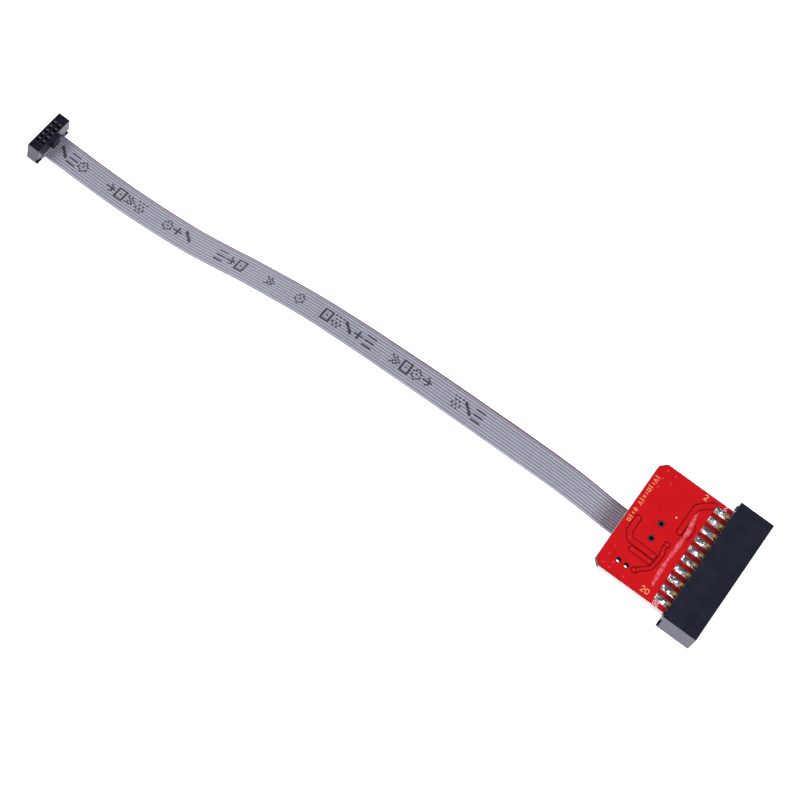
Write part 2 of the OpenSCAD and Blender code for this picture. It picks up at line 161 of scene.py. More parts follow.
def surface(name, dark, light, rough, metal=0.0, scale=1.5, grain=0.0, grain_scale=12.0,
            coat=0.0, shine=0.5, tint=(1, 1, 1)):
    """Mottled surface: colour and roughness drift on one noise, and a finer grain lifts it."""
    mat, tree, bsdf = new_material(name)
    at = millimetres(tree)
    if isinstance(scale, tuple):
        at, scale = stretch(tree, at, scale), 1.0
    drift = noise(tree, at, scale, 3.0, 0.6)
    feed(tree, bsdf, {"Base Color": mix(tree, span(tree, drift, NOISE_LOW, NOISE_HIGH), dark, light),
                      "Roughness": span(tree, drift, NOISE_LOW, NOISE_HIGH, *rough),
                      "Metallic": metal, "Specular IOR Level": shine, "Specular Tint": rgb(tint),
                      "Coat Weight": coat, "Coat Roughness": 0.12})
    if grain:
        bump(tree, bsdf, noise(tree, at, grain_scale), grain, 0.05)
    return mat


def laminate_material():
    """Pale glass laminate: thin resin layers across the edge."""
    mat, tree, bsdf = new_material("laminate_edge")
    at = millimetres(tree)
    plies = node(tree, "TexWave", {"Vector": at, "Scale": 2.4, "Distortion": 1.5, "Detail": 2.0},
                 bands_direction="Z").outputs["Fac"]
    speck = noise(tree, at, 9.0)
    base = mix(tree, plies, (0.46, 0.37, 0.33), (0.60, 0.53, 0.49))
    feed(tree, bsdf, {"Base Color": mix(tree, span(tree, speck, 0.35, 0.75), base, (0.66, 0.60, 0.57)),
                      "Roughness": 0.6})
    bump(tree, bsdf, speck, 0.3, 0.03)
    return mat


def solder_material():
    """Bright metal: clouds of grey, and streaks along each joint that break up its reflections."""
    mat, tree, bsdf = new_material("bright_solder")
    at = millimetres(tree)
    clouds = span(tree, noise(tree, at, 1.7, 3.0, 0.6), 0.35, 0.7)
    streaks = noise(tree, stretch(tree, at, (0.5, 3.0, 3.0)), 1.0)
    feed(tree, bsdf, {"Base Color": mix(tree, clouds, (0.36, 0.36, 0.42), (0.74, 0.73, 0.78)),
                      "Roughness": span(tree, noise(tree, at, 8.0), NOISE_LOW, NOISE_HIGH, 0.24, 0.34),
                      "Metallic": 1.0})
    bump(tree, bsdf, streaks, 0.35, 0.25)
    return mat


def ribbon_material(name, low, high, groove_shade=0.0):
    """Soft plastic; streaks along the conductors, scuffs across them, and painted shade that darkens the
    grooves.
    """
    mat, tree, bsdf = new_material(name)
    uv = node(tree, "UVMap", uv_map="RibbonUV").outputs[0]
    streaks = noise(tree, stretch(tree, uv, (0.05, 5.0, 1.0)), 1.0, 4.0, 0.6)
    scuffs = noise(tree, uv, 0.9, 4.0, 0.65)
    drift = maths(tree, "MULTIPLY_ADD", scuffs, 0.45, maths(tree, "MULTIPLY", streaks, 0.55))
    skin = mix(tree, span(tree, drift, 0.35, 0.65), low, high)
    # painted shade: towards each groove between two conductors the colour is mixed towards a quarter of
    # the low colour, by the given strength
    if groove_shade:
        across = node(tree, "SeparateXYZ", {0: uv}).outputs[1]
        off = maths(tree, "PINGPONG", maths(tree, "DIVIDE", across, WIRE_PITCH), 0.5)
        shade = span(tree, off, 0.17, 0.02, 0.0, groove_shade)
        skin = mix(tree, shade, skin, [c * 0.25 for c in low])
    feed(tree, bsdf, {"Base Color": skin,
                      "Roughness": span(tree, scuffs, NOISE_LOW, NOISE_HIGH, 0.34, 0.5)})
    bump(tree, bsdf, scuffs, 0.12, 0.05)
    return mat


def floor_material():
    """Nearly white, and lit from within, so that it stays white round the object."""
    mat, tree, bsdf = new_material("studio_floor")
    drift = noise(tree, node(tree, "TexCoord").outputs["Object"], 3.0)
    feed(tree, bsdf, {"Base Color": mix(tree, drift, (0.87, 0.85, 0.92), (0.91, 0.89, 0.96)),
                      "Roughness": 0.9, "Specular IOR Level": 0.1,
                      "Emission Color": (0.93, 0.90, 1.0, 1.0), "Emission Strength": 0.97})
    return mat


MASK = surface("solder_mask", (0.53, 0.004, 0.008), (0.60, 0.006, 0.010), (0.26, 0.31),
               scale=0.25, grain=0.02, grain_scale=1.2, coat=0.1, shine=0.3)
MASK_DARK = surface("solder_mask_over_gap", (0.19, 0.001, 0.003), (0.25, 0.001, 0.004), (0.5, 0.6),
                    scale=2.0, shine=0.15)
# painted shade: the mask between the pads is coloured much darker than the rest of the mask, with a random
# mottle
SHADED_MASK_STRIPS = surface("mask_painted_shade_between_pads", (0.13, 0.001, 0.003), (0.42, 0.004, 0.008),
                    (0.25, 0.35), scale=1.0, shine=0.35)
LAMINATE = laminate_material()
# painted shade: a dark brown laminate colour for the edge of the cut corner that faces away from the lamps
CORNER_SHADE = surface("laminate_painted_shade", (0.03, 0.02, 0.01), (0.11, 0.08, 0.045), (0.6, 0.8), scale=2.5,
                   grain=0.5, grain_scale=6.0)
FLUX = surface("flux_film", (0.52, 0.006, 0.010), (0.80, 0.17, 0.21), (0.05, 0.3), grain=0.8,
               grain_scale=2.4, coat=0.3)
GOLD = surface("gold_flash", (0.34, 0.20, 0.085), (0.52, 0.34, 0.16), (0.45, 0.6), metal=0.7,
               scale=(0.4, 3.0, 3.0))
PAD_GOLD = surface("pad_gold", (0.60, 0.42, 0.18), (0.86, 0.68, 0.36), (0.26, 0.4), metal=1.0,
                   scale=3.0, grain=0.2)
TIN = surface("tin_plate", (0.50, 0.51, 0.56), (0.66, 0.67, 0.72), (0.28, 0.40), metal=1.0,
              scale=4.0, grain=0.1)
COPPER = surface("stranded_copper", (0.45, 0.20, 0.10), (0.74, 0.40, 0.24), (0.3, 0.45), metal=1.0,
                 scale=5.0, grain=0.4, grain_scale=20.0)
RING = surface("hole_rim", (0.030, 0.002, 0.003), (0.070, 0.004, 0.006), (0.45, 0.6), scale=3.0,
               shine=0.2)
RING_PALE = surface("hole_ring", (0.085, 0.028, 0.034), (0.150, 0.060, 0.068), (0.4, 0.5), scale=3.0,
                    shine=0.3)
VIA_RING = surface("tented_via", (0.50, 0.022, 0.03), (0.60, 0.085, 0.095), (0.3, 0.4), scale=3.0,
                   shine=0.3)
VIA_BRIGHT = surface("bare_via", (0.75, 0.62, 0.60), (0.90, 0.84, 0.82), (0.3, 0.4), scale=4.0)
# painted shade: a near-black colour for the inside walls of the holes
HOLE_SHADE = surface("hole_wall_painted_shade", (0.008, 0.002, 0.002), (0.020, 0.004, 0.004), (0.8, 0.9), shine=0.05)
SILK = surface("silkscreen_amber", (0.80, 0.36, 0.14), (0.92, 0.52, 0.24), (0.55, 0.7), scale=6.0)
SILK_PALE = surface("silkscreen_pale", (0.78, 0.40, 0.42), (0.90, 0.62, 0.62), (0.5, 0.65), scale=6.0)
HOUSING = surface("socket_plastic", (0.009, 0.011, 0.019), (0.015, 0.017, 0.028), (0.26, 0.36),
                  scale=0.35, shine=0.46, tint=(0.75, 0.71, 1.0))
PLUG = surface("plug_plastic", (0.006, 0.007, 0.013), (0.011, 0.012, 0.021), (0.18, 0.26),
               scale=0.8, shine=0.40, tint=(0.72, 0.72, 1.0))
SOLDER = solder_material()
# the grey insulation carries painted shade in its grooves
GREY = ribbon_material("ribbon_grey_insulation", (0.285, 0.285, 0.365), (0.37, 0.37, 0.45), 0.8)
RED = ribbon_material("ribbon_red_stripe", (0.10, 0.009, 0.032), (0.17, 0.018, 0.054))
INK = ribbon_material("ribbon_print", (0.022, 0.018, 0.030), (0.050, 0.040, 0.058))


# ---------------- mesh helpers

ADD, CUT = "add", "cut"


def new_object(name, data):
    obj = bpy.data.objects.new(name, data)
    bpy.context.scene.collection.objects.link(obj)
    return obj


def add_piece(name, mesh, materials, body, replaces=(), smooth=False, ride=True):
    obj = new_object(name, mesh)
    for m in materials if isinstance(materials, list) else [materials]:
        mesh.materials.append(m)
    if smooth:
        mesh.polygons.foreach_set("use_smooth", [True] * len(mesh.polygons))
    if ride:
        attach(obj, body)
    if replaces:
        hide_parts(*replaces)
    return obj


def add_solid(name, bm, matrix, materials, body, replaces=(), smooth=False):
    """A piece from a bmesh that is in a part's own frame."""
    bmesh.ops.recalc_face_normals(bm, faces=bm.faces)
    mesh = bpy.data.meshes.new(name)
    bm.transform(matrix)
    bm.to_mesh(mesh)
    bm.free()
    add_piece(name, mesh, materials, body, replaces, smooth)


def add_to_board(name, bm, materials, replaces=(), smooth=False):
    add_solid(name, bm, BOARD, materials, "board", replaces, smooth)


def soften(bm, width, sharpest=0.6, where=None):
    """Rounds the edges whose faces meet at more than `sharpest` radians."""
    edges = [e for e in bm.edges if len(e.link_faces) == 2 and e.calc_face_angle(0) > sharpest
             and (where is None or where((e.verts[0].co + e.verts[1].co) / 2))]
    if edges:
        bmesh.ops.bevel(bm, geom=edges, offset=width, segments=2, affect="EDGES", profile=0.5,
                        clamp_overlap=True)


def both(*values):
    """Each value and its mirror image."""
    return [s * v for v in values for s in (-1, 1)]


def mid(half):
    return [(-half, half)]


def pair(low, high):
    return [(low, high), (-high, -low)]


def around(centres, half):
    return [(c - half, c + half) for c in centres]


def blocks(boxes, round_by=0.0, shift=None, where=None):
    """Solid made of boxes in turn; each is ADD or CUT with a list of ranges along X, Y and Z."""
    axes = [np.array(sorted({round(end, 4) for box in boxes for ends in box[k] for end in ends}))
            for k in (1, 2, 3)]
    fill = np.zeros([len(a) + 1 for a in axes], bool)
    for kind, *ranges in boxes:
        held = [[any(low < m < high for low, high in r) for m in (a[1:] + a[:-1]) / 2]
                for a, r in zip(axes, ranges)]
        fill[1:-1, 1:-1, 1:-1][np.ix_(*held)] = kind == ADD
    bm = bmesh.new()
    verts = {}

    def corner(place):
        if place not in verts:
            p = Vector([float(a[i]) for a, i in zip(axes, place)])
            verts[place] = bm.verts.new(shift(p) if shift else p)
        return verts[place]

    square = ((0, 0), (1, 0), (1, 1), (0, 1))
    for cell in np.argwhere(fill):
        for axis in range(3):
            for side in (1, -1):
                beyond = cell.copy()
                beyond[axis] += side
                if fill[tuple(beyond)]:
                    continue
                # the square's own turn faces +X, -Y and +Z
                turned = square if (axis == 1) == (side < 0) else (square[0], *square[:0:-1])
                base = [int(c) - 1 for c in cell]
                base[axis] += side > 0
                others = [a for a in range(3) if a != axis]
                loop = []
                for steps in turned:
                    place = list(base)
                    for a, step in zip(others, steps):
                        place[a] += step
                    loop.append(corner(tuple(place)))
                bm.faces.new(loop)
    bmesh.ops.dissolve_limit(bm, angle_limit=0.02, verts=bm.verts, edges=bm.edges)
    if round_by:
        soften(bm, round_by, where=where)
    return bm


def close_to(a, b):
    return abs(a - b) < 1e-3


def prism(points, y0, y1, round_by=0.0):
    """Profile in X and Z, swept from y0 to y1."""
    bm = bmesh.new()
    a = [bm.verts.new((x, y0, z)) for x, z in points]
    b = [bm.verts.new((x, y1, z)) for x, z in points]
    n = len(points)
    bm.faces.new(a)
    bm.faces.new(b[::-1])
    for i in range(n):
        bm.faces.new((a[i], b[i], b[(i + 1) % n], a[(i + 1) % n]))
    if round_by:
        soften(bm, round_by, sharpest=0.3)
    return bm


def height_field(rows, base, facets):
    """Sheet over rows of points, closed by a skirt and a floor at base.

    facets(i, j) lists a cell's faces, by the numbers of its corners."""
    bm = bmesh.new()
    grid = [[bm.verts.new(p) for p in row] for row in rows]
    for i, (a, b) in enumerate(zip(grid, grid[1:])):
        for j in range(len(a) - 1):
            corners = a[j], a[j + 1], b[j + 1], b[j]
            for facet in facets(i, j):
                bm.faces.new([corners[k] for k in facet])
    made = bmesh.ops.extrude_edge_only(bm, edges=[e for e in bm.edges if e.is_boundary])["geom"]
    low = [g for g in made if isinstance(g, bmesh.types.BMVert)]
    for v in low:
        v.co.z = base
    rim = [g for g in made if isinstance(g, bmesh.types.BMEdge) and all(v in low for v in g.verts)]
    bmesh.ops.contextual_create(bm, geom=[e for e in rim if e.is_boundary])
    return bm


def merge(parts):
    """One bmesh from several; each is a bmesh, or a bmesh with its matrix."""
    out = bmesh.new()
    for part in parts:
        bm, matrix = part if isinstance(part, tuple) else (part, Matrix())
        temp = bpy.data.meshes.new("temp")
        bm.transform(matrix)
        bm.to_mesh(temp)
        out.from_mesh(temp)
        bpy.data.meshes.remove(temp)
        bm.free()
    return out


def filled(loops, z0, z1):
    """Flat sheet from z0 to z1: the first loop is its outline, the others are holes in it."""
    curve = bpy.data.curves.new("temp", "CURVE")
    curve.dimensions = "2D"
    curve.fill_mode = "BOTH"
    curve.extrude = (z1 - z0) / 2
    for loop in loops:
        s = curve.splines.new("POLY")
        s.points.add(len(loop) - 1)
        for p, (x, y) in zip(s.points, loop):
            p.co = (x, y, 0, 1)
        s.use_cyclic_u = True
    obj = new_object("temp", curve)
    mesh = bpy.data.meshes.new_from_object(obj.evaluated_get(bpy.context.evaluated_depsgraph_get()))
    bm = bmesh.new()
    bm.from_mesh(mesh)
    bmesh.ops.translate(bm, verts=bm.verts, vec=(0, 0, (z0 + z1) / 2))
    bmesh.ops.remove_doubles(bm, verts=bm.verts, dist=1e-5)
    bpy.data.objects.remove(obj)
    bpy.data.curves.remove(curve)
    bpy.data.meshes.remove(mesh)
    return bm


def circle(x, y, r, n=32):
    return [(x + r * math.cos(2 * math.pi * i / n), y + r * math.sin(2 * math.pi * i / n))
            for i in range(n)]


ARC = 8                # steps of a rounded end; a corner has two fewer


def swing(arm, angle):
    """An arm from a centre after a turn, as (x, y)."""
    c, s = math.cos(angle), math.sin(angle)
    return arm.x * c - arm.y * s, arm.x * s + arm.y * c


def rounded(points, radii):
    """Polygon with each corner rounded by its own radius."""
    out = []
    count = len(points)
    for i, (p, r) in enumerate(zip(points, radii)):
        p, a, b = Vector(p), Vector(points[i - 1]), Vector(points[(i + 1) % count])
        u, v = (a - p).normalized(), (b - p).normalized()
        half = u.angle(v) / 2
        reach = r / math.tan(half)
        centre = p + (u + v).normalized() * (r / math.sin(half))
        s, e = p + u * reach - centre, p + v * reach - centre
        turn = -s.angle_signed(e)
        for k in range(ARC - 1):
            x, y = swing(s, turn * k / (ARC - 2))
            out.append((centre.x + x, centre.y + y))
    return out


def smooth_line(points, r, n=5):
    """Open polyline with its inner corners rounded."""
    out = [tuple(points[0])]
    for a, p, b in zip(points, points[1:], points[2:]):
        p, a, b = Vector(p), Vector(a), Vector(b)
        u, v = a - p, b - p
        reach = min(r, u.length * 0.45, v.length * 0.45)
        s, e = p + u.normalized() * reach, p + v.normalized() * reach
        for k in range(n + 1):
            t = k / n
            q = s * (1 - t) ** 2 + p * 2 * t * (1 - t) + e * t * t
            out.append((q.x, q.y))
    out.append(tuple(points[-1]))
    return out


def track(points, width):
    """Closed outline, `width` wide, round a line, with round ends."""
    pts = [Vector(p) for p in points]
    half = width / 2
    left, right = [], []
    for i, p in enumerate(pts):
        a, b = pts[max(i - 1, 0)], pts[min(i + 1, len(pts) - 1)]
        t = (b - a).normalized()
        n = Vector((-t.y, t.x))
        left.append(p + n * half)
        right.append(p - n * half)

    def end(start, centre):
        return [centre + Vector(swing(start - centre, -math.pi * k / ARC)) for k in range(1, ARC)]

    loop = left + end(left[-1], pts[-1]) + right[::-1] + end(right[0], pts[0])
    return [(p.x, p.y) for p in loop]


def strokes(lines, width, z0, z1):
    """Thin raised strokes along polylines."""
    return merge([filled([track(line, width)], z0, z1) for line in lines])


# ---------------- circuit board

TOP = 1.6 / 2          # upper face, above the board's middle plane
EDGE_X = -8.1          # edge under the socket
BACK_X = EDGE_X - 17.55
HALF_W = 26.67 / 2
FILM = 0.012           # thickness of the solder mask
SUNK = TOP - 0.002     # where a thin layer on the board starts
COPPER_T = 0.05
PITCH = 2.54
WAYS = [(i - 4.5) * PITCH for i in range(10)]
PAD_L, PAD_W = 3.45, 1.55
SMALL = PITCH / 2      # pitch of the header and the plugs
FIVE = [(i - 2) * SMALL for i in range(5)]
# holes; the last via's cap is bare metal
VIAS = [(-23.6, 12.1), (-21.6, 12.1), (-21.6, 10.2), (-23.6, 10.1), (-23.5, 8.1), (-23.8, -7.8),
        (-23.8, -9.8), (-23.9, -12.1), (-22.2, -10.9), (-22.3, -12.2), (-19.0, -12.2), (-16.9, 4.9)]
VIA_R, VIA_POINTS = 0.14, 16
WIRE_HOLES = [(-21.6, -9.8), (-19.7, -9.8)]
WIRE_HOLE_R, WIRE_RING = 0.525, 0.64
PEG_Y = (-1.5 * SMALL, 1.5 * SMALL)
PEG_HOLES = [(-HEADER_X, y) for y in PEG_Y]
PEG_HOLE_R, PEG_RING = 0.475, 0.78


def board_outline(inset=0.0):
    """The board's edge, moved inwards: two plain corners at the socket, two cut corners behind."""
    w, x0, cut = HALF_W - inset, BACK_X + inset, 1.4
    plain, blunt, sharp = 0.05, 0.7, 0.25
    return rounded([(EDGE_X, -w), (EDGE_X, w), (x0 + cut, w), (x0, w - cut), (x0, -w + cut),
                    (x0 + cut, -w)], [plain, plain, blunt, blunt, sharp, sharp])


def hole_circles(wire_r, peg_r, via_r):
    return ([circle(x, y, wire_r) for x, y in WIRE_HOLES] + [circle(x, y, peg_r) for x, y in PEG_HOLES]
            + [circle(x, y, via_r, VIA_POINTS) for x, y in VIAS])


def mask_outline(inset, stop):
    """Edge of the solder mask: it stops short of the board's edge and steps round the pads."""
    comb = []
    for y in WAYS:
        low, high = y - PAD_W / 2, y + PAD_W / 2
        comb += [(EDGE_X - stop, low), (EDGE_X - PAD_L, low), (EDGE_X - PAD_L, high),
                 (EDGE_X - stop, high)]
    middle = (EDGE_X + BACK_X) / 2
    past_corners = EDGE_X - 0.3
    rest = sorted((p for p in board_outline(inset) if p[0] < past_corners),
                  key=lambda p: math.atan2(p[1], p[0] - middle) % (2 * math.pi))
    return comb + [(EDGE_X - stop, HALF_W - inset)] + rest + [(EDGE_X - stop, inset - HALF_W)]


def lower_openings():
    """Windows in the lower mask for the header's pads."""
    half_l, half_w = 0.9, 0.44
    corners = [(-half_l, -half_w), (half_l, -half_w), (half_l, half_w), (-half_l, half_w)]
    return [[(x - HEADER_X + a, y + b) for a, b in corners] for x in both(HEADER_PAD_X) for y in FIVE]


def build_board():
    core = filled([board_outline()] + hole_circles(WIRE_HOLE_R, PEG_HOLE_R, VIA_R), FILM - TOP, TOP - FILM)
    # the edge faces of the back cut corner that face -X and -Y take the darker painted-shade laminate
    # colour
    shaded_side = Vector((-1, -1, 0)).normalized()
    core.normal_update()
    for f in core.faces:
        if f.normal.dot(shaded_side) > 0.9:
            f.material_index = 1
    add_to_board("board_laminate", core, [LAMINATE, CORNER_SHADE], replaces=["circuit_board"])
    mask = [mask_outline(0.06, 0.05)] + hole_circles(WIRE_RING, PEG_RING, VIA_R + 0.01)
    add_to_board("mask_upper", filled(mask, TOP - FILM, TOP), MASK)
    add_to_board("mask_lower", filled(mask + lower_openings(), -TOP, FILM - TOP), MASK)
    edge = [board_outline(0.01), board_outline(0.13)]
    bead = FILM + 0.004
    add_to_board("mask_rims", merge([filled(edge, z, z + bead) for z in (TOP - FILM, FILM - TOP - bead)]),
                 MASK_DARK)


# each trace: its width, the radius of its bends, and its points
TRACES = [
    (1.05, 0.3, [(-23.1, 0.0), (-23.12, -3.3), (-22.0, -4.75), (-16.4, -4.8)]),
    (0.95, 0.1, [(-20.7, -6.2), (-16.3, -6.2)]),
    (0.62, 0.25, [(-17.85, -9.5), (-15.5, -7.25), (-15.1, -5.2), (-15.15, -3.0), (-15.5, -2.3),
                  (-15.35, -1.2)]),
    (1.0, 0.4, [(-12.0, 11.8), (-13.9, 10.2), (-14.75, 9.1), (-14.75, 2.75)]),
    (1.35, 0.1, [(-13.2, 5.0), (-13.25, 2.95)]),
]
ROUND_PADS = [(-15.35, -1.1), (-17.9, -9.55)]
ROUND_PAD_R = 0.5
GAP = 0.31             # isolation round a trace


def build_traces():
    """Gaps in the copper show dark under the mask; the traces lie on them, in the mask's red."""
    for name, extra, height, material in (("trace_gaps", 2 * GAP, 0.006, MASK_DARK),
                                          ("traces", 0, 0.010, MASK)):
        loops = [track(smooth_line(points, bend), width + extra) for width, bend, points in TRACES]
        loops += [circle(x, y, ROUND_PAD_R + extra / 2) for x, y in ROUND_PADS]
        add_to_board(name, merge([filled([loop], SUNK, TOP + height) for loop in loops]), material)
    dots = [(-23.1, 0.1), (-22.4, -4.6), (-16.4, -4.8), (-20.6, -6.2), (-16.4, -6.2), (-15.35, -1.15),
            (-17.9, -9.55), (-14.75, 2.9), (-15.2, -3.2)]
    dot_r = 0.17
    add_to_board("trace_vias", merge([filled([circle(x, y, dot_r, VIA_POINTS)], SUNK, TOP + 0.014)
                                      for x, y in dots]), VIA_RING)


def tube(x, y, r0, r1, z0, z1, n=32):
    return filled([circle(x, y, r1, n), circle(x, y, r0, n)], z0, z1)


def build_holes():
    def cap(x, y, side, r0=0.05, r1=0.22):
        return tube(x, y, r0, r1, *sorted((side * (TOP - FILM), side * (TOP + 0.014))), 20)

    def rings(wire, peg):
        """Flat rings round the holes, above and below; each pair holds an inner and outer radius."""
        proud = 0.004
        faces = ((TOP - FILM, TOP + proud), (-TOP - proud, FILM - TOP))
        return merge([tube(x, y, *radii, *face) for holes, radii in ((WIRE_HOLES, wire), (PEG_HOLES, peg))
                      for x, y in holes for face in faces])

    caps = [cap(x, y, 1) for x, y in VIAS[:-1]] + [cap(x, y, -1) for x, y in VIAS]
    add_to_board("via_caps", merge(caps), VIA_RING)
    add_to_board("bare_via_cap", cap(*VIAS[-1], 1, 0.02, 0.17), VIA_BRIGHT)
    barrels = [tube(x, y, 0.1, VIA_R - 0.001, -TOP, TOP, VIA_POINTS) for x, y in VIAS]
    add_to_board("via_barrels", merge(barrels), COPPER, ["plated_vias"])
    dark = 0.12            # width of the dark ring round a peg hole
    copper = 0.04          # width of the pale ring round a wire hole
    lap = 0.002
    add_to_board("hole_rims", rings((WIRE_HOLE_R + copper, WIRE_RING), (PEG_RING - dark, PEG_RING)), RING)
    add_to_board("hole_rings", rings((WIRE_HOLE_R - lap, WIRE_HOLE_R + copper + lap),
                                     (PEG_HOLE_R, PEG_RING - dark + lap)), RING_PALE)
    # thin near-black sleeves on the holes' walls: painted shade inside the peg and wire holes
    depth = TOP - 0.004
    walls = [tube(x, y, r - 0.025, r - 0.001, -depth, depth)
             for holes, r in ((PEG_HOLES, PEG_HOLE_R), (WIRE_HOLES, WIRE_HOLE_R)) for x, y in holes]
    add_to_board("hole_walls", merge(walls), HOLE_SHADE)


# strokes of each digit, for a height of 1
DIGITS = {
    "2": [(0.05, 0.78), (0.12, 0.94), (0.28, 1.0), (0.45, 0.96), (0.56, 0.82), (0.54, 0.62),
          (0.40, 0.42), (0.20, 0.22), (0.03, 0.02), (0.58, 0.02)],
    "0": [(0.30, 1.0), (0.10, 0.88), (0.02, 0.62), (0.02, 0.38), (0.10, 0.12), (0.30, 0.0),
          (0.50, 0.12), (0.58, 0.38), (0.58, 0.62), (0.50, 0.88), (0.30, 1.0)],
}
DIGIT_W, DIGIT_STEP = 0.6, 0.82


def number(text, height, x, y, flip=False):
    """Stroke lines of a pin number centred at (x, y), read along +X, or turned half round."""
    wide, s = (len(text) - 1) * DIGIT_STEP + DIGIT_W, -1 if flip else 1
    return [[(x + s * (px + k * DIGIT_STEP - wide / 2) * height, y + s * (py - 0.5) * height)
             for px, py in DIGITS[digit]] for k, digit in enumerate(text)]


# plain shapes, in millimetres, for the strip along the board's back edge
MARKS = {
    "box": [[(0, 0.1), (0.55, 0.1), (0.55, 0.8), (0, 0.8), (0, 0.1)]],
    "peak": [[(0, 0), (0.28, 0.9), (0.56, 0)]],
    "tick": [[(0.25, 0), (0.25, 1)]],
    "short": [[(0.25, 0.2), (0.25, 0.7)]],
    "diamond": [[(0.28, 0), (0.56, 0.45), (0.28, 0.9), (0, 0.45), (0.28, 0)]],
    "pair": [[(0, 0.25), (0.5, 0.25)], [(0, 0.65), (0.5, 0.65)]],
}
STRIP_MARKS = "box tick short diamond gap peak tick pair short box tick short peak tick"


def build_silkscreen():
    ink_top = TOP + 0.016
    strip_x, strip_y, step = -24.1, -1.65, 0.855
    large, small = 1.25, 0.95
    lines = number("2", large, -14.3, 12.25) + number("20", large, -13.9, -11.75)
    for k, name in enumerate(STRIP_MARKS.split()):
        for line in MARKS.get(name, []):
            lines.append([(strip_x - py, strip_y + step * k + px) for px, py in line])
    add_to_board("silkscreen_numbers_and_marks", strokes(lines, 0.15, SUNK, ink_top), SILK)
    lines = number("20", small, -10.6, -12.72, True) + number("2", small, -9.7, 12.8, True)
    add_to_board("silkscreen_edge_numbers", strokes(lines, 0.16, SUNK, ink_top), SILK_PALE)


def build_flux():
    """Dried flux: a thin glossy film that wanders along the pads' inner ends."""
    spine = smooth_line([(-13.85, 8.9), (-13.85, 7.3), (-13.55, 5.4), (-13.3, 3.6), (-13.37, 1.5),
                         (-13.38, -0.6), (-13.55, -3.0), (-13.55, -5.0), (-13.4, -8.0),
                         (-13.2, -10.4)], 1.5, 8)
    pts = [Vector(p) for p in spine]
    lengths = np.cumsum([0] + [(b - a).length for a, b in zip(pts, pts[1:])])
    rings, cols = 90, 12
    film = 0.004           # thickness at the sides
    rows = []
    for i in range(rings + 1):
        s = lengths[-1] * i / rings
        k = min(int(np.searchsorted(lengths, s, "right")) - 1, len(pts) - 2)
        t = (s - lengths[k]) / (lengths[k + 1] - lengths[k])
        p = pts[k].lerp(pts[k + 1], t)
        d = (pts[k + 1] - pts[k]).normalized()
        n = Vector((-d.y, d.x))
        taper = min(1, i / 8, (rings - i) / 5) ** 0.5
        blot = 0.28 * math.exp(-((s - 4.9) / 1.3) ** 2)
        narrow = 0.18 * math.exp(-(s / 1.8) ** 2)
        sway = 0.08 * math.sin(s * 0.9) + 0.05 * math.sin(s * 2.3 + 1)
        half = (0.36 + sway + blot - narrow) * taper + 0.02
        row = []
        for j in range(cols + 1):
            v = 2 * j / cols - 1
            ripple = 0.02 * math.sin(s * 5.3 + v * 4) + 0.012 * math.sin(s * 11.7 - v * 7)
            h = (1 - v * v) * (0.045 + ripple)
            q = p + n * v * half
            row.append((q.x, q.y, TOP + film + max(h, 0) * taper))
        rows.append(row)
    add_to_board("flux_residue", height_field(rows, TOP - film, lambda i, j: [(0, 1, 2, 3)]), FLUX,
                 smooth=True)


# ---------------- socket

SOCKET_D, SOCKET_L, SOCKET_H = 8.05, 30.1, 6.1
ROW_Z = PITCH / 2


def each_row():
    """Both rows of ways: a name, a sign, and the matrices that take a part to each way."""
    for name, flip in (("upper", 1), ("lower", -1)):
        yield name, flip, [Matrix.Diagonal((1, 1, flip, 1)) @ Matrix.Translation((0, y, 0)) for y in WAYS]


def build_socket():
    cavity_w, cavity_h = 0.45, 0.72              # half sizes of a cavity
    funnel_w, funnel_h, funnel_d = 0.28, 0.2, 0.35
    key_w, key_h = 2.0, 1.1
    notch_d, notch_w, notch_z = 0.45, 0.9, (-2.3, 1.1)
    lug_d, lug_y, lug_z = 0.3, (13.5, 14.3), (1.0, 2.2)
    half_l, half_h, back = SOCKET_L / 2, SOCKET_H / 2, -SOCKET_D
    boxes = [(ADD, [(back, 0)], mid(half_l), mid(half_h)),
             (ADD, [(back, 0)], mid(key_w), [(-half_h - key_h, -half_h)]),
             (ADD, [(back - lug_d, back)], pair(*lug_y), [lug_z]),
             (CUT, [(back, -funnel_d), (-funnel_d, 0)], around(WAYS, cavity_w),
              around(both(ROW_Z), cavity_h)),
             (CUT, [(back, back + notch_d)], pair(half_l - notch_w, half_l), [notch_z])]

    def funnel(p):
        """Each cavity's mouth opens out on the mating face."""
        q = p.copy()
        near = min(WAYS, key=lambda w: abs(p.y - w))
        if (close_to(p.x, 0) and close_to(abs(p.y - near), cavity_w)
                and close_to(abs(abs(p.z) - ROW_Z), cavity_h)):
            q.y += math.copysign(funnel_w, p.y - near)
            q.z += math.copysign(funnel_h, abs(p.z) - ROW_Z) * math.copysign(1, p.z)
        return q

    def outer(m):
        return (close_to(abs(m.y), half_l) or close_to(abs(m.z), half_h) or m.z < -half_h
                or m.x < back - 0.01)

    add_to_board("socket_housing_moulding", blocks(boxes, 0.1, funnel, outer), HOUSING,
                 ["socket_housing"])


CONTACT_X = -6.4       # the tail joins the leaves here, inside the housing
METAL = 0.25           # thickness of a tail


def contact_profile():
    """Side view of a tail: out of the housing, down a slope, then flat on its pad."""
    foot, back = TOP + COPPER_T, -SOCKET_D
    low, high = ROW_Z - METAL / 2, ROW_Z + METAL / 2
    return [(CONTACT_X, low), (back - 0.25, low), (back - 0.55, ROW_Z - 0.21), (back - 0.95, foot + 0.02),
            (back - 1.15, foot), (back - 2.6, foot), (back - 2.6, foot + METAL),
            (back - 1.15, foot + METAL), (back - 0.85, foot + 0.3), (back - 0.5, ROW_Z + 0.06),
            (back - 0.25, high), (CONTACT_X, high)]


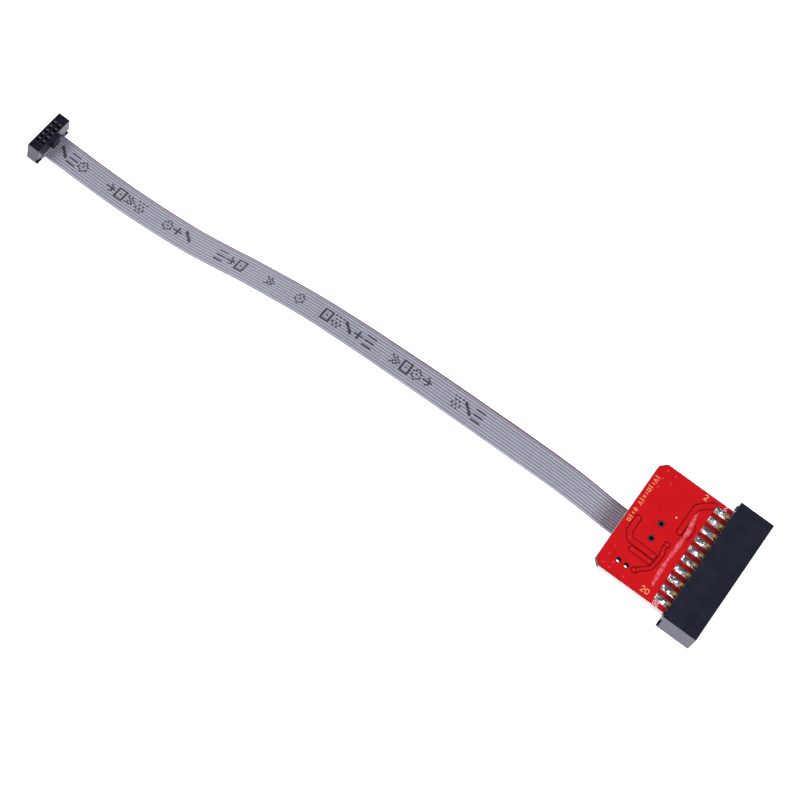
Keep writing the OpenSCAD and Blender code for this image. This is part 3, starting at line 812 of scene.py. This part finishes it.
def build_socket_contacts():
    tail_w, bridge_h = 0.64, 0.5
    leaf_z, leaf_w, leaf_t, flare = 0.375, 0.35, 0.12, 0.2
    for level, _, moves in each_row():
        parts = []
        for move in moves:
            parts.append((prism(contact_profile(), -tail_w / 2, tail_w / 2, 0.06), move))
            for side in (-1, 1):
                z = ROW_Z + side * leaf_z
                tip = z + side * flare
                leaf = [(CONTACT_X, z - leaf_t), (-0.95, z - leaf_t), (-0.8, tip - leaf_t),
                        (-0.8, tip + leaf_t), (-0.95, z + leaf_t), (CONTACT_X, z + leaf_t)]
                parts.append((prism(leaf, -leaf_w, leaf_w), move))
            parts.append((blocks([(ADD, [(CONTACT_X - 0.1, CONTACT_X + 0.6)], mid(leaf_w),
                                   around([ROW_Z], bridge_h))]), move))
        add_to_board(f"socket_contact_row_{level}", merge(parts), GOLD,
                     [f"socket_contacts_{level}"])


def solder_blob(seed):
    """Reflowed solder: facets fall from the contact's foot to the pad's sides and both its ends."""
    r = np.random.default_rng(seed)
    x0, x1 = EDGE_X - PAD_L + 0.05, EDGE_X - 0.08
    along = [0, 0.10, 0.24, 0.40, 0.54, 0.68, 0.84, 1.0]
    ridge = [0, 0.20, 0.34, 0.37, 0.32, 0.20, 0.15, 0.02]
    across = [-1, -0.80, -0.40, 0.05, 0.42, 0.78, 1]
    share = [0, 0.45, 0.95, 1.0, 0.85, 0.40, 0]
    half_w, base = PAD_W / 2 - 0.03, TOP + COPPER_T + 0.02
    rows = []
    sway = r.uniform(-0.18, 0.18)
    for i, (u, top) in enumerate(zip(along, ridge)):
        row = []
        for j, (v, part) in enumerate(zip(across, share)):
            shift = np.zeros(3)
            if 0 < i < len(along) - 1 and 0 < j < len(across) - 1:
                shift = r.uniform(-1, 1, 3) * (0.04, 0.10, 0.175 * (top + 0.1)) + (0, sway, 0)
            row.append((x0 + (x1 - x0) * (u + shift[0]), (v + shift[1]) * half_w,
                        base + max(top * part + shift[2], 0)))
        rows.append(row)
    splits = ((0, 1, 3), (1, 2, 3)), ((0, 1, 2), (0, 2, 3))
    return height_field(rows, TOP + COPPER_T / 2, lambda i, j: splits[(i + j) % 2])


def build_pads_and_solder():
    along = [(EDGE_X - PAD_L, EDGE_X)]
    pad = [(ADD, along, mid(PAD_W / 2), [(TOP - FILM, TOP + COPPER_T)])]
    strip = [(ADD, along, [(PAD_W / 2, PITCH - PAD_W / 2)], [(SUNK, TOP + 0.004)])]
    for level, flip, moves in each_row():
        add_to_board(f"pads_{level}", merge([(blocks(pad, 0.02), m) for m in moves]), PAD_GOLD,
                     [f"{level}_edge_pads"])
        blobs = [(solder_blob(k + 40 * flip + 50), m) for k, m in enumerate(moves)]
        add_to_board(f"solder_{level}", merge(blobs), SOLDER, [f"solder_joints_{level}"])
        # thin strips of mask between the pads, in the darker painted-shade red
        add_to_board(f"mask_between_pads_{level}", merge([(blocks(strip), m) for m in moves[:-1]]),
                     SHADED_MASK_STRIPS)


# ---------------- header

def cylinder(r, z0, z1, n=24):
    bm = filled([circle(0, 0, r, n)], z0, z1)
    soften(bm, r * 0.15)
    return bm


def build_header():
    """The socket and pins under the board; its frame is the board's, moved to its middle."""
    rim, base, floor = -5.5, -1.1, -2.5
    half_w, half_l = 2.54, 6.4
    room_w, room_l, key_gap = 1.55, 5.15, 1.05
    hole = 0.22            # half size of the square hole round a pin
    boxes = [(ADD, mid(half_w), mid(half_l), [(rim, base)]),
             (CUT, mid(room_w), mid(room_l), [(rim, floor)]),
             (CUT, [(room_w, half_w)], mid(key_gap), [(rim, floor)]),
             (CUT, around(both(SMALL / 2), hole), around(FIVE, hole), [(floor, base)])]

    def outer(m):
        return abs(abs(m.x) - SMALL / 2) > hole + 0.08 or m.z < floor - 0.05

    at = BOARD @ Matrix.Translation((-HEADER_X, 0, 0))

    def add(name, parts, material, cad_node):
        add_solid(name, merge(parts), at, material, "board", [cad_node])

    pegs = [(cylinder(0.4, -1.2, 0.1), Matrix.Translation((0, y, 0))) for y in PEG_Y]
    add("header_moulding", [blocks(boxes, 0.07, where=outer)] + pegs, HOUSING,
        "header_shroud")
    pad_z, lead, wire = -TOP - COPPER_T, 3.75, 0.2           # wire: half its thickness
    x0, x1, tip = SMALL / 2 - wire, SMALL / 2 + wire, rim + 0.3
    pin = [(x0, tip + 0.12), (x0 + 0.1, tip), (x1 - 0.1, tip), (x1, tip + 0.12), (x1, pad_z - wire),
           (lead, pad_z - wire), (lead, pad_z), (x0, pad_z)]
    wedge = [(lead - 0.5, pad_z + 0.01), (lead + 0.42, pad_z + 0.01), (lead + 0.2, pad_z - 0.05),
             (lead + 0.02, pad_z - 0.17), (lead - 0.2, pad_z - 0.215), (lead - 0.5, pad_z - 0.1)]
    pad = [(ADD, around([HEADER_PAD_X], 0.8), mid(0.38), [(pad_z, FILM - TOP)])]
    pads, joints = [], []
    for name, flip in (("front", 1), ("back", -1)):
        moves = [Matrix.Diagonal((flip, 1, 1, 1)) @ Matrix.Translation((0, y, 0)) for y in FIVE]
        add(f"header_pin_row_{name}", [(prism(pin, -wire, wire, 0.03), m) for m in moves], GOLD,
            f"header_pins_{name}_row")
        pads += [(blocks(pad), m) for m in moves]
        joints += [(prism(wedge, -0.33, 0.33, 0.05), m) for m in moves]
    add("header_pad_set", pads, PAD_GOLD, "header_pads")
    add("header_solder_fillets", joints, SOLDER, "header_solder_joints")


# ---------------- ribbon plugs

BODY_Z, COVER_Z = -(RIBBON_Z - 0.37), -(RIBBON_Z + 0.37)     # the body ends, and the cover's bar starts
CAVITY_Z = -2.8        # floor of the cavities
HALF_PW, HALF_PL = PLUG_W / 2, PLUG_L / 2
TROUGH_W, TROUGH_L = 0.15, 3.3   # half sizes of the troughs that the contacts' forks reach into
TROUGHS = around(both(SMALL / 2), TROUGH_W), mid(TROUGH_L)


def on_plug_sides(m):
    return close_to(abs(m.x), HALF_PW) or close_to(abs(m.y), HALF_PL)


def plug_body():
    hole = 0.42                                  # half size of a cavity
    key_w, key_x, key_z = 0.95, HALF_PW + 0.9, -2.9
    socket_x, socket_y, socket_z = 0.65, (4.1, 4.8), -2.1        # takes the cover's legs
    recess_x, recess_y, recess_z = 0.95, (3.5, 4.6), -0.25
    boxes = [(ADD, mid(HALF_PW), mid(HALF_PL), [(BODY_Z, 0)]),
             (ADD, [(HALF_PW, key_x)], mid(key_w), [(key_z, 0)]),
             (CUT, around(both(SMALL / 2), hole), around(FIVE, hole), [(CAVITY_Z, 0)]),
             (CUT, *TROUGHS, [(BODY_Z, CAVITY_Z)]),
             (CUT, mid(socket_x), pair(*socket_y), [(BODY_Z, socket_z)]),
             (CUT, mid(recess_x), pair(*recess_y), [(recess_z, 0)])]
    return blocks(boxes, 0.05, where=lambda m: on_plug_sides(m) or m.x > HALF_PW or close_to(m.z, 0))


def plug_cover():
    leg_x, leg_y, leg_z = 0.6, (4.15, 4.75), -2.2
    notch_x, notch_y, notch_z = HALF_PW - 0.4, 3.9, -4.55
    end_y, top, trough_z = 3.45, BODY_Z - 0.02, COVER_Z - 0.35
    boxes = [(ADD, mid(HALF_PW), mid(HALF_PL), [(-PLUG_H, COVER_Z)]),
             (ADD, mid(HALF_PW), pair(end_y, HALF_PL), [(COVER_Z, top)]),
             (ADD, mid(leg_x), pair(*leg_y), [(top, leg_z)]),
             (CUT, *TROUGHS, [(trough_z, COVER_Z)]),
             (CUT, [(notch_x, HALF_PW)], pair(notch_y, HALF_PL), [(notch_z, top)])]
    return blocks(boxes, 0.06, where=on_plug_sides)


def plug_contacts():
    """A blade in each cavity, and under it a fork that grips the wire beside the blade."""
    blade_x, tip_x, tip_z, shoulder_z = 0.36, 0.3, -0.05, -0.12
    blade_y = 0.225, 0.375
    tine_in, tine_out, fork_x = 0.16, 0.28, 0.1
    foot = CAVITY_Z + 0.01
    blade = [(-blade_x, shoulder_z), (-tip_x, tip_z), (tip_x, tip_z), (blade_x, shoulder_z),
             (blade_x, foot), (-blade_x, foot)]
    parts = []
    for y in FIVE:
        for side in (-1, 1):
            wire = side * WIRE_PITCH / 2
            tines = [(wire + low, wire + high) for low, high in pair(tine_in, tine_out)]
            ends = [*blade_y, *tines[0], *tines[1]]
            fork = blocks([(ADD, mid(fork_x), tines, [(COVER_Z - 0.3, BODY_Z)]),
                           (ADD, mid(fork_x), [(min(ends), max(ends))], [(BODY_Z, CAVITY_Z + 0.05)])])
            place = Matrix.Translation((side * SMALL / 2, y, 0))
            parts += [(prism(blade, *blade_y, 0.02), place), (fork, place)]
    return merge(parts)


def build_plugs():
    parts = (("moulding", plug_body, PLUG, "plug_black", "body"),
             ("cover_bar", plug_cover, PLUG, "plug_black", "cover"),
             ("contact_set", plug_contacts, TIN, "contact_tin", "contacts"))
    for plug, matrix in (("near_plug", NEAR), ("far_plug", FAR)):
        for name, shape, material, slot, cad_node in parts:
            add_solid(f"{plug}_{name}", shape(), matrix, material, plug, [f"{plug}_{cad_node}"])


# ---------------- ribbon

CUT_END = 1.5          # past the middle of a plug
EXIT = 1.7             # where the ribbon is free of a plug
STEP = 0.3             # length of one ring of the ribbon mesh


class Strip:
    """The ribbon's middle line and its frame, by length from the near plug's cut end."""

    def __init__(self):
        def middle(plug, x):
            return plug @ Vector((x, 0, -RIBBON_Z))

        pts = [middle(NEAR, CUT_END), middle(NEAR, -EXIT), *(Vector(h["pos_m"]) for h in HINGES),
               middle(FAR, EXIT), middle(FAR, -CUT_END)]
        near_y, far_y = NEAR.to_3x3().col[1].normalized(), FAR.to_3x3().col[1].normalized()
        side = [near_y, near_y, *(Vector(h["axis"]) for h in HINGES), far_y, far_y]
        for i, h in enumerate(HINGES, 2):
            if "twist" in h["name"]:             # this axis runs along the ribbon, not across it
                side[i] = (side[i - 1] + side[i + 1]).normalized()
        n = len(pts)
        tangent = [(pts[min(i + 1, n - 1)] - pts[max(i - 1, 0)]).normalized() for i in range(n)]
        tangent[1], tangent[-2] = tangent[0], tangent[-1]
        points, across, lengths, self.knot = [], [], [], []
        total, last = 0.0, pts[0]
        for i in range(n - 1):
            reach = (pts[i + 1] - pts[i]).length
            count = max(2, round(reach / MM / STEP))
            for k in range(count + (i == n - 2)):
                t = k / count
                p = self.hermite(pts[i], tangent[i] * reach, pts[i + 1], tangent[i + 1] * reach, t)
                total += (p - last).length / MM
                last = p
                points.append(p)
                across.append(side[i].lerp(side[i + 1], t * t * (3 - 2 * t)))
                lengths.append(total)
                if k == 0:
                    self.knot.append(total)
        self.knot.append(total)
        self.u, self.p, y = np.array(lengths), np.array(points), np.array(across)
        self.x = self.unit(-np.gradient(self.p, axis=0))
        self.y = self.unit(y - self.x * (y * self.x).sum(1)[:, None])
        self.z = np.cross(self.x, self.y)

    @staticmethod
    def unit(rows):
        return rows / np.linalg.norm(rows, axis=1)[:, None]

    @staticmethod
    def hermite(a, da, b, db, t):
        return (a * (2 * t ** 3 - 3 * t ** 2 + 1) + da * (t ** 3 - 2 * t ** 2 + t)
                + b * (3 * t ** 2 - 2 * t ** 3) + db * (t ** 3 - t ** 2))

    def point(self, u, v, w):
        """Point at length u, v across and w above the middle plane, in millimetres."""
        p, y, z = ([np.interp(u, self.u, a[:, k]) for k in range(3)] for a in (self.p, self.y, self.z))
        return Vector(p) + Vector(y) * v * MM + Vector(z) * w * MM


STRIP = Strip()
MIDDLE_WIRE = (WIRES - 1) / 2


def ribbon_profile():
    """(across, height) round the ribbon: ten lobes above, then ten below."""
    per = 8
    half = math.asin((WIRE_PITCH / 2) / WIRE_R)
    top = []
    for k in range(WIRES - 1, -1, -1):
        yc = (k - MIDDLE_WIRE) * WIRE_PITCH
        first = math.pi / 2 if k == WIRES - 1 else half
        last = -math.pi / 2 if k == 0 else -half
        for i in range(0 if k == WIRES - 1 else 1, per + 1):
            a = first + (last - first) * i / per
            top.append((yc + WIRE_R * math.sin(a), WIRE_R * math.cos(a)))
    return top + [(y, -z) for y, z in reversed(top[1:-1])]


def lobe_height(v):
    yc = (round(v / WIRE_PITCH + MIDDLE_WIRE) - MIDDLE_WIRE) * WIRE_PITCH
    return math.sqrt(max(WIRE_R ** 2 - (v - yc) ** 2, 0.006))


# the marks side by side, as seven lines of dots
MARK_NAMES = "diamond rungs scatter chevrons box plus arrow steps"
DOTS = (
    "..#.. ##### #.#.# ..... ##### ..... ..... #....",
    ".#.#. ..... ..... #.#.. #...# ..#.. ..#.. ##...",
    "#...# ..... .#.#. .#.#. #...# ..#.. ...#. .##..",
    "..#.. ##### ..... ..#.# #.#.# ##### ##### ..##.",
    "#...# ..... #.#.# .#.#. #...# ..#.. ...#. ...##",
    ".#.#. ..... ..... #.#.. #...# ..#.. ..#.. ....#",
    "..#.. ##### .#.#. ..... ##### ..... ..... .....",
)
GLYPHS = dict(zip(MARK_NAMES.split(), zip(*(line.split() for line in DOTS))))
# groups of marks: middle of the group, by distance from the far plug's middle
PRINT = [
    (6.8, "steps rungs diamond"),
    (20.6, "arrow box chevrons scatter"),
    (34.3, "diamond plus steps"),
    (48.2, "rungs arrow box"),
    (58.3, "chevrons"),
    (65.8, "diamond"),
    (77.7, "box scatter steps plus rungs"),
    (93.3, "chevrons box diamond arrow"),
    (107.1, "scatter steps rungs"),
]
MARK_STEP = 2.6
COLUMN, LINE = 0.45, 0.40        # steps between dots, along and across
DOT_L, DOT_W = COLUMN, 0.42
DOT_LIFT, DOT_ROOT = 0.014, -0.03


def ink_dots(u0, u1):
    """Centres of the dots that lie between two lengths, as (length, across)."""
    far_plug = STRIP.knot[-1] - CUT_END
    out = []
    for middle, marks in PRINT:
        names = marks.split()
        for m, name in enumerate(names):
            centre = far_plug - middle - (m - (len(names) - 1) / 2) * MARK_STEP
            for r, line in enumerate(GLYPHS[name]):
                for c, ch in enumerate(line):
                    u = centre - (c - 2) * COLUMN
                    if ch == "#" and u0 <= u < u1:
                        out.append((u, (3 - r) * LINE))
    return out


def add_dot(verts, faces, u, v):
    """A thin printed dot that follows the lobes under it."""
    cells = 5
    n = cells + 1
    top, low = len(verts), len(verts) + n * n
    for lift in (DOT_LIFT, DOT_ROOT):
        for i in range(n):
            for j in range(n):
                a, b = 2 * i / cells - 1, 2 * j / cells - 1
                squeeze = 1 - 0.12 * a * a * b * b       # blunts the corners
                uu, vv = u + a * DOT_L / 2 * squeeze, v + b * DOT_W / 2 * squeeze
                verts.append(STRIP.point(uu, vv, lobe_height(vv) + lift))
    for i in range(cells):
        for j in range(cells):
            q = [i * n + j, (i + 1) * n + j, (i + 1) * n + j + 1, i * n + j + 1]
            faces.append([top + k for k in q])
            faces.append([low + k for k in q[::-1]])
    for k in range(cells):
        # one cell of wall on each of the four sides
        for p, q in ((k * n, (k + 1) * n), (cells * n + k, cells * n + k + 1),
                     ((k + 1) * n + cells, k * n + cells), (k + 1, k)):
            faces.append([top + p, low + p, low + q, top + q])


def ribbon_piece(name, i0, i1):
    """Mesh of the rings i0 to i1, closed at both ends, with its print; materials grey, red, ink."""
    outline = ribbon_profile()
    m = len(outline)
    stripe = MIDDLE_WIRE * WIRE_PITCH - 0.1      # the first conductor is red from here outwards
    verts, faces, mats = [], [], []
    for i in range(i0, i1 + 1):
        for y, z in outline:
            verts.append(Vector(STRIP.p[i]) + Vector(STRIP.y[i]) * y * MM + Vector(STRIP.z[i]) * z * MM)
    rings = i1 - i0
    for i in range(rings):
        for j in range(m):
            k = (j + 1) % m
            faces.append([i * m + j, i * m + k, (i + 1) * m + k, (i + 1) * m + j])
            mats.append(1 if min(outline[j][0], outline[k][0]) > stripe else 0)
    caps = len(faces)
    for first, turn in ((0, -1), (rings * m, 1)):
        faces.append(list(range(len(verts), len(verts) + m))[::turn])
        verts += verts[first:first + m]
    for u, v in ink_dots(STRIP.u[i0], STRIP.u[i1]):
        add_dot(verts, faces, u, v)
    mats += [0, 0] + [2] * (len(faces) - caps - 2)
    mesh = bpy.data.meshes.new(name)
    mesh.from_pydata([tuple(v) for v in verts], [], faces)
    mesh.polygons.foreach_set("material_index", mats)
    for k in (caps, caps + 1):
        mesh.polygons[k].use_smooth = False
    # the texture runs along the ribbon and across it, and the underside has its own stretch of it
    underside = 8
    layer = mesh.uv_layers.new(name="RibbonUV")
    co = np.array(verts)
    near = np.array([np.argmin(((STRIP.p[i0:i1 + 1] - c) ** 2).sum(1)) for c in co]) + i0
    across = ((co - STRIP.p[near]) * STRIP.y[near]).sum(1) / MM
    up = ((co - STRIP.p[near]) * STRIP.z[near]).sum(1)
    for loop in mesh.loops:
        k = loop.vertex_index
        layer.data[loop.index].uv = (STRIP.u[near[k]], across[k] + (underside if up[k] < 0 else 0))
    mesh.validate()
    return mesh


def build_ribbon():
    """A strip over each hinge, cut midway between hinges, and a plain one inside each plug."""
    cuts = [0] + [int(np.argmin(abs(STRIP.u - (a + b) / 2)))
                  for a, b in zip(STRIP.knot[1:-2], STRIP.knot[2:-1])] + [len(STRIP.u) - 1]
    chain = ["near_plug"] + [h["child"] for h in HINGES]
    last = len(cuts) - 2
    for i in range(last + 1):
        name = f"ribbon_strip_{i + 1:02d}"
        cad_nodes = [f"ribbon_{kind}_{i + 1:02d}" for kind in ("insulation", "wires") if i < last]
        obj = add_piece(name, ribbon_piece(name, cuts[i], cuts[i + 1]), [GREY, RED, INK],
                        chain[min(i, last - 1)], cad_nodes, smooth=True,
                        ride=i in (0, last))
        if 0 < i < last:
            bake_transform(obj)


def build_core_ends():
    """The cut ends of the stranded cores, seen where the ribbon is cut off in each plug."""
    strand_r, ring_r, length, proud = 0.05, 0.1, 0.6, 0.015
    along = Matrix.Rotation(math.pi / 2, 4, "Y")
    centre = [(0, 0)] + circle(0, 0, ring_r, 6)
    for which, matrix, x in (("near", NEAR, CUT_END + proud - length), ("far", FAR, -CUT_END - proud)):
        parts = [(cylinder(strand_r, 0, length, 10),
                  Matrix.Translation((x, (k - MIDDLE_WIRE) * WIRE_PITCH + y, z - RIBBON_Z)) @ along)
                 for k in range(WIRES) for y, z in centre]
        add_solid(f"{which}_core_ends", merge(parts), matrix, COPPER, f"{which}_plug")


# ---------------- studio

def aim(name, data, target, azimuth, elevation, distance, roll=0.0):
    """An object that looks at a point; azimuth 0 looks along +Y, and the elevation looks down."""
    a, e = math.radians(azimuth), math.radians(elevation)
    back = Vector((math.sin(a) * math.cos(e), -math.cos(a) * math.cos(e), math.sin(e)))
    obj = new_object(name, data)
    obj.location = target + back * distance
    obj.rotation_mode = "QUATERNION"
    obj.rotation_quaternion = ((-back).to_track_quat("-Z", "Y")
                               @ Matrix.Rotation(math.radians(roll), 3, "Z").to_quaternion())
    return obj


def build_floor():
    half, gap = 3.0, 0.0002
    corners = [(-half, -half, 0), (half, -half, 0), (half, half, 0), (-half, half, 0)]
    mesh = bpy.data.meshes.new("floor")
    mesh.from_pydata(corners, [], [(0, 1, 2, 3)])
    mesh.materials.append(floor_material())
    floor = new_object("floor", mesh)
    floor.location.z = cad_box[0].z - gap


def build_lights():
    """Four softboxes round the object, and a little light from everywhere."""
    middle = (cad_box[0] + cad_box[1]) / 2
    for name, azimuth, elevation, distance, width, height, watts in (
            ("key_softbox", -75, 48, 1.0, 0.5, 0.4, 5.6), ("fill_softbox", 70, 42, 1.0, 0.5, 0.4, 6.0),
            ("back_softbox", -124, 34, 1.0, 0.3, 0.2, 1.6), ("front_softbox", 5, 30, 1.1, 0.8, 0.25, 4.5)):
        light = bpy.data.lights.new(name, "AREA")
        light.shape = "RECTANGLE"
        light.size, light.size_y = width, height
        light.energy = watts
        aim(name, light, middle, azimuth, elevation, distance)
    world = bpy.data.worlds.new("studio")
    bpy.context.scene.world = world
    world.use_nodes = True
    feed(world.node_tree, world.node_tree.nodes["Background"], {"Color": (1, 1, 1, 1), "Strength": 0.12})
    bpy.context.scene.view_settings.view_transform = "Standard"


def build_camera():
    """Long lens, about a metre away, looking down from in front and slightly to the right."""
    cam = bpy.data.cameras.new("camera")
    cam.lens, cam.sensor_width = 225.0, 36.0
    cam.clip_start, cam.clip_end = 0.05, 20.0
    bpy.context.scene.camera = aim("camera", cam, Vector((-0.07565, -0.00382, 0.006)), azimuth=25.4,
                                   elevation=64.553, distance=1.00687, roll=8.356)


for build in (build_board, build_traces, build_holes, build_silkscreen, build_flux, build_socket,
              build_socket_contacts, build_pads_and_solder, build_header, build_plugs, build_ribbon,
              build_core_ends, build_floor, build_lights, build_camera):
    build()
